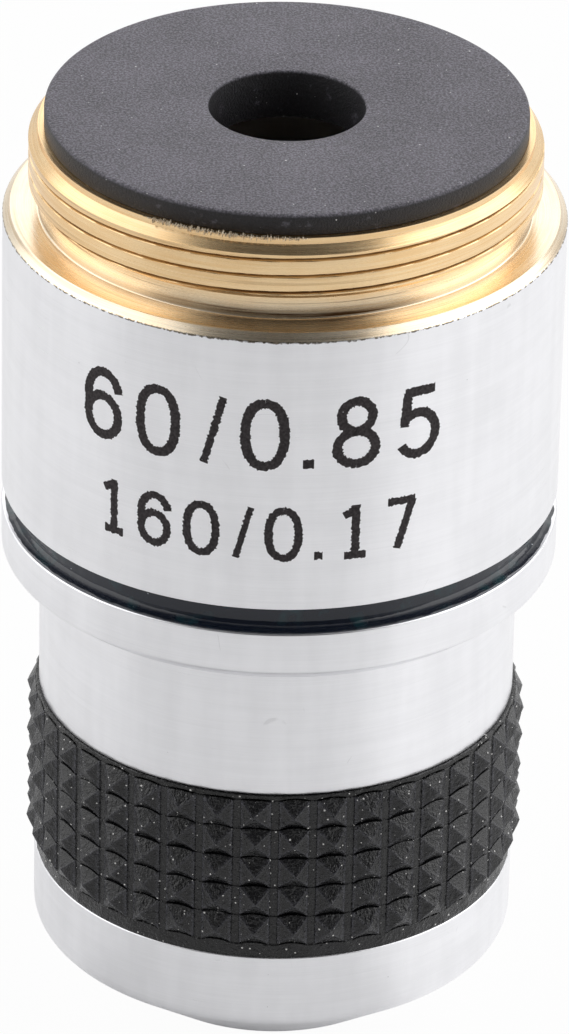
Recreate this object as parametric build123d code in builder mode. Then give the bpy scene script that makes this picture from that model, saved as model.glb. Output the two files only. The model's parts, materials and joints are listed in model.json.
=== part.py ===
"""Retractable high-power microscope objective, as its separate turned, moulded and ground pieces.

The origin is the centre of the mounting shoulder. +Z runs along the optical axis towards the mounting
thread, so the nose and the front lens point down. All sizes are in millimetres.
"""

import os
from math import copysign, cos, pi, radians, sin, sqrt, tan

from build123d import *

os.makedirs("parts", exist_ok=True)

# Focus standard: distance from the shoulder to the specimen
parfocal_length = 35.0
cover_glass = 0.17
working_distance = 0.10
travel = 3.0  # how far the front can be pushed up into the housing

# Neck with the mounting thread, drawn at its crests
thread_crest_r = 10.12
thread_relief_depth = 0.42
thread_relief_length = 0.91
neck_length = 3.5
neck_chamfer_depth = 0.37
neck_chamfer_height = 0.56
neck_wall = 0.95

# Housing
shoulder_width = 0.70
shoulder_chamfer = 0.30
housing_wall = 0.67  # round the end collar's thread
housing_step = 0.15  # seat for the end collar's top edge
web_thickness = 1.5
body_length = 12.03  # from the shoulder to the colour groove

# Colour groove
groove_height = 1.10
enamel_film = 0.12
enamel_pool_r = 0.41  # hollow where the enamel ran against the groove's lower wall
enamel_pool_edge = 0.04

# End collar
collar_rim_height = 2.32
collar_neck_wall = 0.83
collar_thread_length = 1.50
collar_chamfer_depth = 0.72
collar_chamfer_height = 0.57
collar_edge_r = 0.35
collar_groove_bevel = 0.08

# Rear cap
cap_inset = 0.25  # of the lip that shows round the cap
cap_flange_height = 0.85
cap_edge_r = 0.14
cap_hole_r = 3.08
cap_disc_thickness = 2.0
cap_skirt_length = 2.6
cap_skirt_wall = 1.2

# Front sleeve
grip_seat_depth = 0.38
grip_width = 7.47
lower_barrel_step = 0.16
lower_barrel_length = 3.09
lower_barrel_edge_r = 0.90
cone_half_angle = 54.0
nose_lip_width = 1.24
nose_recess = 0.10  # of the sleeve's end behind the front cell's tip
nose_wall = 2.63  # from the sleeve's end up to the shim's seat
tube_length = 4.4  # above the stop ring
edge_break = 0.12

# Rubber grip
grip_rows = 5
grip_columns = 40
grip_top_rim = 0.21
grip_bottom_rim = 0.59
grip_valley_rise = 0.10  # above the sleeve
pyramid_height = 0.40
pyramid_ridge = 0.04  # left at the tip of each pyramid
column_valley_width = 0.34
row_valley_width = 0.10
grip_turn = 0.56  # degrees, of the first column valley from +X

# Stop ring, guide pin and return spring
stop_ring_height = 1.6
guide_pin_r = 0.50
guide_pin_margin = 0.10  # of keyway above the pin's middle when the front is pushed right up
keyway_depth = 0.45
spring_wire_r = 0.30
spring_wire_sides = 8
spring_turns = 4.5

# Lens barrel and the stack in it
cell_r = 5.18
barrel_lip = 0.8
shim_thickness = 0.20
shim_margin = 0.35
clamp_ring_height = 1.6
clamp_ring_wall = 1.2
clamp_ring_recess = 2.9  # of its top below the tube's end
lock_ring_height = 1.5
lock_ring_wall = 1.0
spacer_wall = 1.1
cell_lip = 0.5
cell_headroom = 0.25  # of a cell's wall above its glass
retainer_seat = 0.42  # how far a retaining ring reaches in over its lens
spanner_slot_width = 0.9
spanner_slot_share = 0.4  # of a ring's height

# Front cell and front lens
front_step = 0.63  # from the flange in to the tip
front_flange = 1.0
front_lens_r = 1.15
front_lens_overhang = 0.35  # of the ball past its middle, towards the specimen
front_lens_recess = 0.03
front_opening_margin = 0.20
front_cone_r = 3.0
tip_edge_break = 0.15

# Meniscus behind the front lens. A surface's depth is how far its rim stands above its middle
meniscus_cell_wall = 2.80
meniscus_front_depth = -0.40
meniscus_rear_depth = -1.06
meniscus_thickness = 1.25

# Middle doublet
middle_cell_wall = 1.60
middle_flint_thickness = 0.7
middle_cement_depth = 1.71
middle_rear_depth = -1.07
middle_edge = 0.35

# Rear doublet
rear_cell_wall = 1.20
rear_flint_thickness = 0.8
rear_cement_depth = 1.51
rear_rear_depth = -0.93
rear_edge = 0.40

meniscus_spacer_height = 0.4
middle_spacer_height = 0.6
stop_thickness = 0.3
exit_pupil_r = 2.5

# Clearances, each on the radius
slide_fit = 0.04
thread_fit = 0.02
guide_fit = 0.05
ring_clearance = 0.10
tube_clearance = 0.35
nose_clearance = 0.15
lip_clearance = 0.05
lens_fit = 0.02

# Radii worked out from the outside in
thread_relief_r = thread_crest_r - thread_relief_depth
neck_lip_r = thread_crest_r - neck_chamfer_depth
neck_bore_r = thread_relief_r - neck_wall
body_r = thread_crest_r + shoulder_width + shoulder_chamfer
collar_neck_r = body_r - housing_wall
housing_bore_r = collar_neck_r - housing_step
collar_bore_r = collar_neck_r - collar_neck_wall
sleeve_r = collar_bore_r - slide_fit
tube_r = neck_bore_r - tube_clearance
stop_ring_r = housing_bore_r - ring_clearance
cap_flange_r = neck_lip_r - cap_inset
cap_skirt_r = neck_bore_r - thread_fit
grip_seat_r = sleeve_r - grip_seat_depth
grip_valley_r = sleeve_r + grip_valley_rise
grip_crest_r = grip_valley_r + pyramid_height
lower_barrel_r = sleeve_r + lower_barrel_step

# Radii worked out from the lens cells outwards. The lens barrel's wall and the tube's share the space evenly
barrel_bore_r = cell_r + thread_fit
barrel_r = (barrel_bore_r + tube_r) / 2
sleeve_bore_r = barrel_r + slide_fit
tip_r = cell_r - front_step
nose_hole_r = tip_r + nose_clearance
nose_face_r = nose_hole_r + nose_lip_width

# Heights down from the shoulder
groove_top = -body_length
groove_bottom = groove_top - groove_height
collar_end = groove_bottom - collar_rim_height
collar_top = groove_top + collar_thread_length
stop_ring_top = collar_top + stop_ring_height
web_underside = -web_thickness
tube_top = stop_ring_top + tube_length
guide_pin_z = collar_top - travel - guide_pin_margin

# Heights up from the tip
tip_z = cover_glass + working_distance - parfocal_length
nose_end = tip_z + nose_recess
cone_top = nose_end + (lower_barrel_r - nose_face_r) / tan(radians(cone_half_angle))
grip_bottom = cone_top + lower_barrel_length
grip_top = grip_bottom + grip_width
sleeve_floor = nose_end + nose_wall
barrel_bottom = sleeve_floor + shim_thickness
barrel_top = tube_top - clamp_ring_recess - clamp_ring_height
barrel_length = barrel_top - barrel_bottom
front_seat = barrel_bottom + barrel_lip
front_flange_top = front_seat + front_flange


def sag(curve, radius):
    """Height of a ground surface above its middle. A positive curve has its centre above."""
    return curve - copysign(sqrt(curve**2 - radius**2), curve) if curve else 0.0


def curve_of(depth, rim_r):
    """The radius of curvature of a surface whose rim stands this far above its middle."""
    return (rim_r**2 + depth**2) / (2 * depth)


def lens(label, rim_r, front_z, front_curve, rear_z, rear_curve, bevel_r=None):
    """One lens element between two ground surfaces, whose middles are at front_z and rear_z.

    A bevel_r turns the rest of the front surface, out to the rim, into the flat that the lens sits on.
    """
    ground_r = bevel_r or rim_r
    with BuildPart() as element:
        with BuildSketch(Plane.XZ):
            with BuildLine():
                Line((0, rear_z), (0, front_z))
                front_edge = front_z + sag(front_curve, ground_r)
                if front_curve:
                    halfway = (ground_r / 2, front_z + sag(front_curve, ground_r / 2))
                    ThreePointArc((0, front_z), halfway, (ground_r, front_edge))
                else:
                    Line((0, front_z), (ground_r, front_edge))
                if bevel_r:
                    Line((bevel_r, front_edge), (rim_r, front_edge))
                rear_edge_z = rear_z + sag(rear_curve, rim_r)
                Line((rim_r, front_edge), (rim_r, rear_edge_z))
                halfway = (rim_r / 2, rear_z + sag(rear_curve, rim_r / 2))
                ThreePointArc((rim_r, rear_edge_z), halfway, (0, rear_z))
            make_face()
        revolve(axis=Axis.Z)
    element.part.label = label
    export_step(element.part, f"parts/{label}.step")


def ring(label, outer_r, inner_r, bottom, height, slotted=False):
    """A plain turned ring. A slotted one has a spanner slot across its top."""
    with BuildPart() as piece:
        with BuildSketch(Plane.XY.offset(bottom)):
            Circle(outer_r)
            Circle(inner_r, mode=Mode.SUBTRACT)
        extrude(amount=height)
        if slotted:
            with BuildSketch(Plane.XY.offset(bottom + height)):
                Rectangle(3 * outer_r, spanner_slot_width)
            extrude(amount=-height * spanner_slot_share, mode=Mode.SUBTRACT)
    piece.part.label = label
    export_step(piece.part, f"parts/{label}.step")


def cell(label, lens_rim_r, bottom, top):
    """A lens cell: a cup with a lip under the lens, bored to the lens's rim above it."""
    pocket_r = lens_rim_r + lens_fit
    lip_bore_r = lens_rim_r - retainer_seat
    with BuildPart() as cup:
        with BuildSketch(Plane.XY.offset(bottom)):
            Circle(cell_r)
        extrude(amount=top - bottom)
        with BuildSketch(Plane.XY.offset(bottom)):
            Circle(lip_bore_r)
        extrude(amount=top - bottom, mode=Mode.SUBTRACT)
        with BuildSketch(Plane.XY.offset(bottom + cell_lip)):
            Circle(pocket_r)
        extrude(amount=top - bottom, mode=Mode.SUBTRACT)
    cup.part.label = label
    export_step(cup.part, f"parts/{label}.step")


def retainer(label, lens_rim_r, rear_z, rear_curve, cell_top):
    """The slotted ring that holds a lens down. The inner edge of its underside rests on the glass."""
    bore_r = lens_rim_r - retainer_seat
    seat = rear_z + sag(rear_curve, bore_r)
    ring(label, lens_rim_r, bore_r, seat, cell_top - seat, slotted=True)


def doublet(name, rim_r, bottom, flint_thickness, cement_depth, rear_depth, edge):
    """A cell with a cemented flint and crown and their retaining ring. Gives the height of its top."""
    cement_curve = curve_of(cement_depth, rim_r)
    rear_curve = curve_of(rear_depth, rim_r)
    front_z = bottom + cell_lip
    cement_z = front_z + flint_thickness
    crown_rim_z = cement_z + sag(cement_curve, rim_r) + edge
    rear_z = crown_rim_z - sag(rear_curve, rim_r)
    top = rear_z + cell_headroom
    cell(f"{name}_cell", rim_r, bottom, top)
    lens(f"{name}_flint", rim_r, front_z, 0, cement_z, cement_curve)
    lens(f"{name}_crown", rim_r, cement_z, cement_curve, rear_z, rear_curve)
    retainer(f"{name}_retainer", rim_r, rear_z, rear_curve, top)
    return top


# Housing: neck, shoulder, body and bore are one turned piece
with BuildPart() as housing:
    with BuildSketch(Plane.XZ):
        with BuildLine():
            Polyline(
                (neck_bore_r, web_underside),
                (neck_bore_r, neck_length),
                (neck_lip_r, neck_length),
                (thread_crest_r, neck_length - neck_chamfer_height),
                (thread_crest_r, thread_relief_length),
                (thread_relief_r, thread_relief_length),
                (thread_relief_r, 0),
                (body_r - shoulder_chamfer, 0),
                (body_r, -shoulder_chamfer),
                (body_r, groove_top),
                (collar_neck_r, groove_top),
                (collar_neck_r, collar_top),
                (housing_bore_r, collar_top),
                (housing_bore_r, web_underside),
                close=True,
            )
        make_face()
    revolve(axis=Axis.Z)
housing.part.label = "housing"
export_step(housing.part, "parts/housing.step")

# End collar: its neck screws up into the housing and guides the sleeve
with BuildPart() as end_collar:
    with BuildSketch(Plane.XZ) as collar_profile:
        with BuildLine():
            Polyline(
                (collar_bore_r, collar_end),
                (body_r - collar_chamfer_depth, collar_end),
                (body_r, collar_end + collar_chamfer_height),
                (body_r, groove_bottom - collar_groove_bevel),
                (body_r - collar_groove_bevel, groove_bottom),
                (collar_neck_r, groove_bottom),
                (collar_neck_r, collar_top),
                (collar_bore_r, collar_top),
                close=True,
            )
        make_face()
        lower_corner = (body_r, collar_end + collar_chamfer_height)
        fillet(collar_profile.vertices().sort_by_distance(lower_corner)[0], collar_edge_r)
    revolve(axis=Axis.Z)
    # Keyway in the bore, open at its top, blind under the colour groove
    keyway_bottom = guide_pin_z - guide_pin_r - guide_fit
    with BuildSketch(Plane.XY.offset(keyway_bottom)):
        with Locations((0, (collar_bore_r + keyway_depth) / 2)):
            Rectangle(2 * (guide_pin_r + guide_fit), collar_bore_r + keyway_depth)
    extrude(amount=collar_top - keyway_bottom, mode=Mode.SUBTRACT)
end_collar.part.label = "end_collar"
export_step(end_collar.part, "parts/end_collar.step")

# Colour band: a film of enamel on the groove's wall, pooled on its lower ledge
with BuildPart() as colour_band:
    film_r = collar_neck_r + enamel_film
    pool_r = film_r + enamel_pool_r
    pool_edge_z = groove_bottom + enamel_pool_edge
    pool_middle = enamel_pool_r * (1 - cos(pi / 4))
    with BuildSketch(Plane.XZ):
        with BuildLine():
            Polyline((film_r, pool_edge_z + enamel_pool_r), (film_r, groove_top), (collar_neck_r, groove_top))
            Polyline((collar_neck_r, groove_top), (collar_neck_r, groove_bottom), (pool_r, groove_bottom))
            Line((pool_r, groove_bottom), (pool_r, pool_edge_z))
            ThreePointArc(
                (pool_r, pool_edge_z),
                (film_r + pool_middle, pool_edge_z + pool_middle),
                (film_r, pool_edge_z + enamel_pool_r),
            )
        make_face()
    revolve(axis=Axis.Z)
colour_band.part.label = "colour_band"
export_step(colour_band.part, "parts/colour_band.step")

# Rear cap: a moulded plug whose flange sits on the neck's lip
with BuildPart() as rear_cap:
    cap_top = neck_length + cap_flange_height
    cap_underside = cap_top - cap_disc_thickness
    with BuildSketch(Plane.XZ) as cap_profile:
        with BuildLine():
            Polyline(
                (cap_hole_r, cap_underside),
                (cap_hole_r, cap_top),
                (cap_flange_r, cap_top),
                (cap_flange_r, neck_length),
                (cap_skirt_r, neck_length),
                (cap_skirt_r, neck_length - cap_skirt_length),
                (cap_skirt_r - cap_skirt_wall, neck_length - cap_skirt_length),
                (cap_skirt_r - cap_skirt_wall, cap_underside),
                close=True,
            )
        make_face()
        cap_corner = cap_profile.vertices().sort_by_distance((cap_flange_r, cap_top))[0]
        fillet(cap_corner, cap_edge_r)
    revolve(axis=Axis.Z)
rear_cap.part.label = "rear_cap"
export_step(rear_cap.part, "parts/rear_cap.step")

# Front sleeve: smooth barrel, grip seat, lower barrel and cone are one turned piece
with BuildPart() as front_sleeve:
    with BuildSketch(Plane.XZ) as sleeve_profile:
        with BuildLine():
            Polyline(
                (nose_hole_r, nose_end),
                (nose_face_r, nose_end),
                (lower_barrel_r, cone_top),
                (lower_barrel_r, grip_bottom),
                (grip_seat_r, grip_bottom),
                (grip_seat_r, grip_top),
                (sleeve_r, grip_top),
                (sleeve_r, collar_top),
                (tube_r, collar_top),
                (tube_r, tube_top),
                (sleeve_bore_r, tube_top),
                (sleeve_bore_r, sleeve_floor),
                (nose_hole_r, sleeve_floor),
                close=True,
            )
        make_face()
        fillet(sleeve_profile.vertices().sort_by_distance((lower_barrel_r, cone_top))[0], lower_barrel_edge_r)
        fillet(sleeve_profile.vertices().sort_by_distance((nose_face_r, nose_end))[0], edge_break)
        chamfer(sleeve_profile.vertices().sort_by_distance((tube_r, tube_top))[0], edge_break)
    revolve(axis=Axis.Z)
    # Hole for the guide pin, drilled through the back wall
    with BuildSketch(Plane(origin=(0, 0, guide_pin_z), x_dir=(1, 0, 0), z_dir=(0, 1, 0))):
        Circle(guide_pin_r)
    extrude(amount=body_r, mode=Mode.SUBTRACT)
front_sleeve.part.label = "front_sleeve"
export_step(front_sleeve.part, "parts/front_sleeve.step")

# One column of the grip's pyramids: ridges whose two ends are cut back to the same slope
grip_half_side = grip_valley_r * tan(pi / grip_columns)
pyramid_half_width = grip_half_side - column_valley_width / 2
row_pitch = (grip_width - grip_top_rim - grip_bottom_rim) / grip_rows
pyramid_half_length = (row_pitch - row_valley_width) / 2
with BuildPart() as pyramid_column:
    with BuildSketch(Plane.XZ):
        for row in range(grip_rows):
            middle = grip_bottom + grip_bottom_rim + (row + 0.5) * row_pitch
            Polygon(
                (grip_valley_r, middle - pyramid_half_length),
                (grip_crest_r, middle),
                (grip_valley_r, middle + pyramid_half_length),
                align=None,
            )
    extrude(amount=pyramid_half_width, both=True)
    with BuildSketch(Plane.XY.offset(grip_bottom)):
        Polygon(
            (grip_valley_r, -pyramid_half_width),
            (grip_crest_r, -pyramid_ridge / 2),
            (grip_crest_r, pyramid_ridge / 2),
            (grip_valley_r, pyramid_half_width),
            align=None,
        )
    extrude(amount=grip_width, mode=Mode.INTERSECT)

# Grip ring: a moulded ring of flats, with a column of pyramids on each
with BuildPart() as grip_ring:
    with BuildSketch(Plane.XY.offset(grip_bottom)):
        RegularPolygon(grip_valley_r, grip_columns, major_radius=False, rotation=grip_turn)
        Circle(grip_seat_r, mode=Mode.SUBTRACT)
    extrude(amount=grip_width)
    with PolarLocations(0, grip_columns, start_angle=grip_turn + 180 / grip_columns):
        add(pyramid_column.part)
grip_ring.part.label = "grip_ring"
export_step(grip_ring.part, "parts/grip_ring.step")

# Guide pin: pushed out through the sleeve's wall from inside, before the lens barrel goes in behind it
with BuildPart() as guide_pin:
    with BuildSketch(Plane(origin=(0, sleeve_bore_r, guide_pin_z), x_dir=(1, 0, 0), z_dir=(0, 1, 0))):
        Circle(guide_pin_r)
    extrude(amount=collar_bore_r + keyway_depth - guide_fit - sleeve_bore_r)
guide_pin.part.label = "guide_pin"
export_step(guide_pin.part, "parts/guide_pin.step")

# Return spring: a coil with ground ends between the stop ring and the housing's web
with BuildPart() as return_spring:
    spring_r = (tube_r + housing_bore_r) / 2
    spring_height = web_underside - stop_ring_top
    with BuildLine() as coil:
        Helix(spring_height / spring_turns, spring_height, spring_r, center=(0, 0, stop_ring_top))
    with BuildSketch(Plane(origin=coil.line @ 0, z_dir=coil.line % 0)):
        RegularPolygon(spring_wire_r, spring_wire_sides)
    sweep(is_frenet=True)
    split(bisect_by=Plane.XY.offset(stop_ring_top), keep=Keep.TOP)
    split(bisect_by=Plane.XY.offset(web_underside), keep=Keep.BOTTOM)
return_spring.part.label = "return_spring"
export_step(return_spring.part, "parts/return_spring.step")

ring("stop_ring", stop_ring_r, tube_r, collar_top, stop_ring_height, slotted=True)
ring("parfocal_shim", barrel_r, tip_r + shim_margin, sleeve_floor, shim_thickness)

# Lens barrel: a plain tube with a lip under the front cell's flange
with BuildPart() as lens_barrel:
    with BuildSketch(Plane.XY.offset(barrel_bottom)):
        Circle(barrel_r)
        Circle(tip_r + lip_clearance, mode=Mode.SUBTRACT)
    extrude(amount=barrel_length)
    with BuildSketch(Plane.XY.offset(front_seat)):
        Circle(barrel_bore_r)
    extrude(amount=barrel_length, mode=Mode.SUBTRACT)
lens_barrel.part.label = "lens_barrel"
export_step(lens_barrel.part, "parts/lens_barrel.step")

ring("clamp_ring", barrel_r, barrel_r - clamp_ring_wall, barrel_top, clamp_ring_height, slotted=True)

# Front cell: its tip reaches down through the sleeve's end and is the nose face
with BuildPart() as front_cell:
    pocket_floor = tip_z + front_lens_recess
    ball_z = pocket_floor + front_lens_overhang
    front_flat_r = sqrt(front_lens_r**2 - front_lens_overhang**2)
    opening_r = front_flat_r - front_opening_margin
    pocket_r = front_lens_r + lens_fit
    with BuildSketch(Plane.XZ):
        with BuildLine():
            Polyline(
                (opening_r, tip_z),
                (tip_r - tip_edge_break, tip_z),
                (tip_r, tip_z + tip_edge_break),
                (tip_r, front_seat),
                (cell_r, front_seat),
                (cell_r, front_flange_top),
                (front_cone_r, front_flange_top),
                (pocket_r, ball_z),
                (pocket_r, pocket_floor),
                (opening_r, pocket_floor),
                close=True,
            )
        make_face()
    revolve(axis=Axis.Z)
front_cell.part.label = "front_cell"
export_step(front_cell.part, "parts/front_cell.step")

# Front lens: most of a ball, ground flat towards the specimen
with BuildPart() as front_lens:
    with BuildSketch(Plane.XZ):
        with BuildLine():
            ThreePointArc((front_flat_r, pocket_floor), (front_lens_r, ball_z), (0, ball_z + front_lens_r))
            Polyline((0, ball_z + front_lens_r), (0, pocket_floor), (front_flat_r, pocket_floor))
        make_face()
    revolve(axis=Axis.Z)
front_lens.part.label = "front_lens"
export_step(front_lens.part, "parts/front_lens.step")

# Meniscus, hollow side towards the front lens
meniscus_r = cell_r - meniscus_cell_wall
meniscus_bevel_r = meniscus_r - retainer_seat
meniscus_front_curve = curve_of(meniscus_front_depth, meniscus_bevel_r)
meniscus_rear_curve = curve_of(meniscus_rear_depth, meniscus_r)
meniscus_seat = front_flange_top + cell_lip
meniscus_front_z = meniscus_seat - meniscus_front_depth
meniscus_rear_z = meniscus_front_z + meniscus_thickness
meniscus_top = meniscus_rear_z + cell_headroom
cell("meniscus_cell", meniscus_r, front_flange_top, meniscus_top)
lens(
    "meniscus_lens",
    meniscus_r,
    meniscus_front_z,
    meniscus_front_curve,
    meniscus_rear_z,
    meniscus_rear_curve,
    bevel_r=meniscus_bevel_r,
)
retainer("meniscus_retainer", meniscus_r, meniscus_rear_z, meniscus_rear_curve, meniscus_top)

# The rest of the stack, each piece on the one before it
ring("meniscus_spacer", cell_r, cell_r - spacer_wall, meniscus_top, meniscus_spacer_height)
middle_top = doublet(
    "middle",
    cell_r - middle_cell_wall,
    meniscus_top + meniscus_spacer_height,
    middle_flint_thickness,
    middle_cement_depth,
    middle_rear_depth,
    middle_edge,
)
ring("middle_spacer", cell_r, cell_r - spacer_wall, middle_top, middle_spacer_height)
rear_top = doublet(
    "rear",
    cell_r - rear_cell_wall,
    middle_top + middle_spacer_height,
    rear_flint_thickness,
    rear_cement_depth,
    rear_rear_depth,
    rear_edge,
)
ring("aperture_stop", cell_r, exit_pupil_r, rear_top, stop_thickness)
ring("lock_ring", cell_r, cell_r - lock_ring_wall, rear_top + stop_thickness, lock_ring_height, slotted=True)
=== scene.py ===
"""Looks of the retractable microscope objective, built round its packed solids.

Lengths are metres. The origin is the centre of the mounting shoulder and +Z runs up to the thread.
"""

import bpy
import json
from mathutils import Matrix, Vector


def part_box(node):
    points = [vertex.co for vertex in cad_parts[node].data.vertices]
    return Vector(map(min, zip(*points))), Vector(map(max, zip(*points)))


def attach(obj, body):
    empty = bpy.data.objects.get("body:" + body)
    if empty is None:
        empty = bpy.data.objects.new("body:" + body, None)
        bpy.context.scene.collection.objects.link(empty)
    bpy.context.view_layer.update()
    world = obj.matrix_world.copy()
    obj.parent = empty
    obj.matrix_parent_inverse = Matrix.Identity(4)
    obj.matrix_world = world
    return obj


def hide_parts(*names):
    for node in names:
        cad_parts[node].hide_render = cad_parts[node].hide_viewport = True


bl_info = {
    "name": "Microscope objective looks",
    "version": (1, 0, 0),
    "blender": (4, 5, 0),
    "location": "3D View > Sidebar > Objective",
    "description": "Builds the turned, engraved and moulded surfaces of a microscope objective",
    "category": "Object",
}

import json
from math import cos, pi, radians, sin, tan

import bpy
import numpy as np
from bpy.props import FloatProperty, FloatVectorProperty, IntProperty, PointerProperty
from mathutils import Matrix

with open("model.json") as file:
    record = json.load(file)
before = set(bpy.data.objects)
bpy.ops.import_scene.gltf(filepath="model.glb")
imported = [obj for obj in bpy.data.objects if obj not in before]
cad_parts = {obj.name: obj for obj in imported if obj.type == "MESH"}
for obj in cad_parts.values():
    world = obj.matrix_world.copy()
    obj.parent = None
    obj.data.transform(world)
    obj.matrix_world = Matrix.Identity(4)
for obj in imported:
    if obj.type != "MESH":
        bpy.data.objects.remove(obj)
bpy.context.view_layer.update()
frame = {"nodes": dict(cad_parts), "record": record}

MM = 0.001
FRONT = -pi / 2  # azimuth of the side that the engraving faces
TURNED_COLUMNS = 360


def radius_of(node):
    """The outer radius of a turned solid."""
    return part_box(node)[1][0]


def bottom_of(node):
    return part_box(node)[0][2]


def top_of(node):
    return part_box(node)[1][2]


# Sizes that the solids give
BODY_R = radius_of("housing")
NECK_TOP = top_of("housing")
GROOVE_TOP = bottom_of("housing")
GROOVE_BOTTOM = bottom_of("colour_band")
COLLAR_TOP = top_of("end_collar")
COLLAR_END = bottom_of("end_collar")
LOWER_BARREL_R = radius_of("front_sleeve")
SLEEVE_END = bottom_of("front_sleeve")
TUBE_TOP = top_of("front_sleeve")
GRIP_BOTTOM = bottom_of("grip_ring")
GRIP_TOP = top_of("grip_ring")
CAP_R = radius_of("rear_cap")
CAP_TOP = top_of("rear_cap")
CAP_BOTTOM = bottom_of("rear_cap")
TIP_Z = bottom_of("front_cell")
CELL_R = radius_of("front_cell")
CELL_TOP = top_of("front_cell")


def length(name, description, millimetres):
    return FloatProperty(name=name, description=description, default=millimetres * MM, subtype="DISTANCE")


def angle(name, description, degrees):
    return FloatProperty(name=name, description=description, default=radians(degrees), subtype="ANGLE")


def amount(name, description, default):
    return FloatProperty(name=name, description=description, default=default)


def finish_colour(name, description, default):
    return FloatVectorProperty(name=name, description=description, default=default, subtype="COLOR")


class HousingSizes(bpy.types.PropertyGroup):
    """Sizes of the neck, its thread and the shell under it."""

    crest_radius: length("Crest radius", "Radius over the mounting thread", 10.12)
    pitch: length("Pitch", "Height of one turn of the thread", 25.4 / 36)
    thread_depth: length("Thread depth", "From crest to root", 0.14)
    crest_wear: length("Crest wear", "Lost at a crest's edges", 0.012)
    valley_height: length("Valley height", "Height of one root of the thread at the front", 2.03)
    relief_radius: length("Relief radius", "Of the undercut below the thread", 9.70)
    relief_height: length("Relief height", "Of the undercut below the thread", 0.91)
    lip_radius: length("Lip radius", "At the top of the neck's chamfer", 9.75)
    chamfer_height: length("Chamfer height", "Of the neck's chamfer", 0.56)
    pilot_height: length("Pilot height", "Of the plain end above the chamfer", 0.26)
    shoulder_chamfer: length("Shoulder chamfer", "Bare edge round the shoulder", 0.30)
    neck_bore: length("Neck bore", "Radius of the hole through the neck", 8.75)
    web_height: length("Web height", "Underside of the neck inside the shell", -1.5)
    shell_bore: length("Shell bore", "Radius inside the shell", 10.30)
    collar_thread: length("Collar thread", "Radius of the end collar's neck", 10.45)


class FrontSizes(bpy.types.PropertyGroup):
    """Sizes of the collar, the sleeve, the nose and the cap."""

    collar_bore: length("Collar bore", "Radius that guides the sleeve", 9.62)
    sleeve_radius: length("Sleeve radius", "Of the smooth barrel", 9.58)
    grip_seat: length("Grip seat", "Radius under the rubber", 9.20)
    tube_radius: length("Tube radius", "Of the tube inside the spring", 8.40)
    sleeve_bore: length("Sleeve bore", "Radius inside the sleeve", 6.84)
    cone_half_angle: angle("Cone half angle", "Of the cone under the grip", 54)
    nose_face: length("Nose face", "Radius where the cone ends", 5.94)
    nose_hole: length("Nose hole", "Radius round the front cell", 4.70)
    nose_wall: length("Nose wall", "From the sleeve's end up to its floor", 2.63)
    cap_hole: length("Cap hole", "Radius of the light hole", 3.08)


class GripSizes(bpy.types.PropertyGroup):
    """Sizes of the rubber grip and its pyramids."""

    columns: IntProperty(name="Columns", description="Pyramids round the ring", default=40, min=3)
    rows: IntProperty(name="Rows", description="Pyramids up the ring", default=5, min=1)
    valley_radius: length("Valley radius", "Of the flats between the pyramids", 9.68)
    pyramid_height: length("Pyramid height", "Above the flats", 0.40)
    top_rim: length("Top rim", "Above the pyramids", 0.21)
    bottom_rim: length("Bottom rim", "Below the pyramids", 0.59)
    column_valley: length("Column valley", "Width between two columns", 0.34)
    row_valley: length("Row valley", "Width between two rows", 0.10)
    turn: angle("Turn", "Azimuth of the first column valley", 0.56)


class EngravingSizes(bpy.types.PropertyGroup):
    """Sizes of the two lines of numbers."""

    tall_height: length("Tall height", "Of the upper line's digits", 2.72)
    tall_base: length("Tall base", "Height that the upper line stands on", -5.68)
    tall_stroke: length("Tall stroke", "Width of the upper line's strokes", 0.40)
    small_height: length("Small height", "Of the lower line's digits", 2.08)
    small_base: length("Small base", "Height that the lower line stands on", -9.71)
    small_stroke: length("Small stroke", "Width of the lower line's strokes", 0.33)


class Finishes(bpy.types.PropertyGroup):
    """Colours of the finishes."""

    chrome: finish_colour("Chrome", "Satin plating", (0.925, 0.925, 0.95))
    brass: finish_colour("Brass", "Bare turned brass", (0.97, 0.72, 0.42))
    enamel: finish_colour("Enamel", "The colour band", (0.007, 0.011, 0.023))
    rubber: finish_colour("Rubber", "The grip ring", (0.0034, 0.0034, 0.0042))
    plastic: finish_colour("Plastic", "The rear cap", (0.036, 0.0340, 0.0405))


class StageSettings(bpy.types.PropertyGroup):
    """The camera and the light."""

    elevation: angle("Elevation", "Of the camera", 28.915)
    roll: angle("Roll", "Of the camera", 1.188)
    distance: length("Distance", "From the camera to what it aims at", 347)
    aim_side: length("Aim side", "X of the aim", 0.225)
    aim_height: length("Aim height", "Z of the aim", -14.023)
    focal_share: amount("Focal length", "As a share of the picture's height", 8655 / 1034)
    left_power: amount("Left power", "Of the lamp on the left, in watts", 0.8)
    right_power: amount("Right power", "Of the lamp on the right, in watts", 1.1)
    back_power: amount("Back power", "Of the lamp behind, in watts", 0.52)
    side_level: amount("Side level", "Brightness of the room at the sides", 0.70)
    front_level: amount("Front level", "Brightness of the room in front and above", 0.08)


# Materials


def socket_called(sockets, name):
    """The socket in use that has this name, since some nodes hold several of one name."""
    return next(socket for socket in sockets if socket.enabled and socket.name == name)


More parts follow.
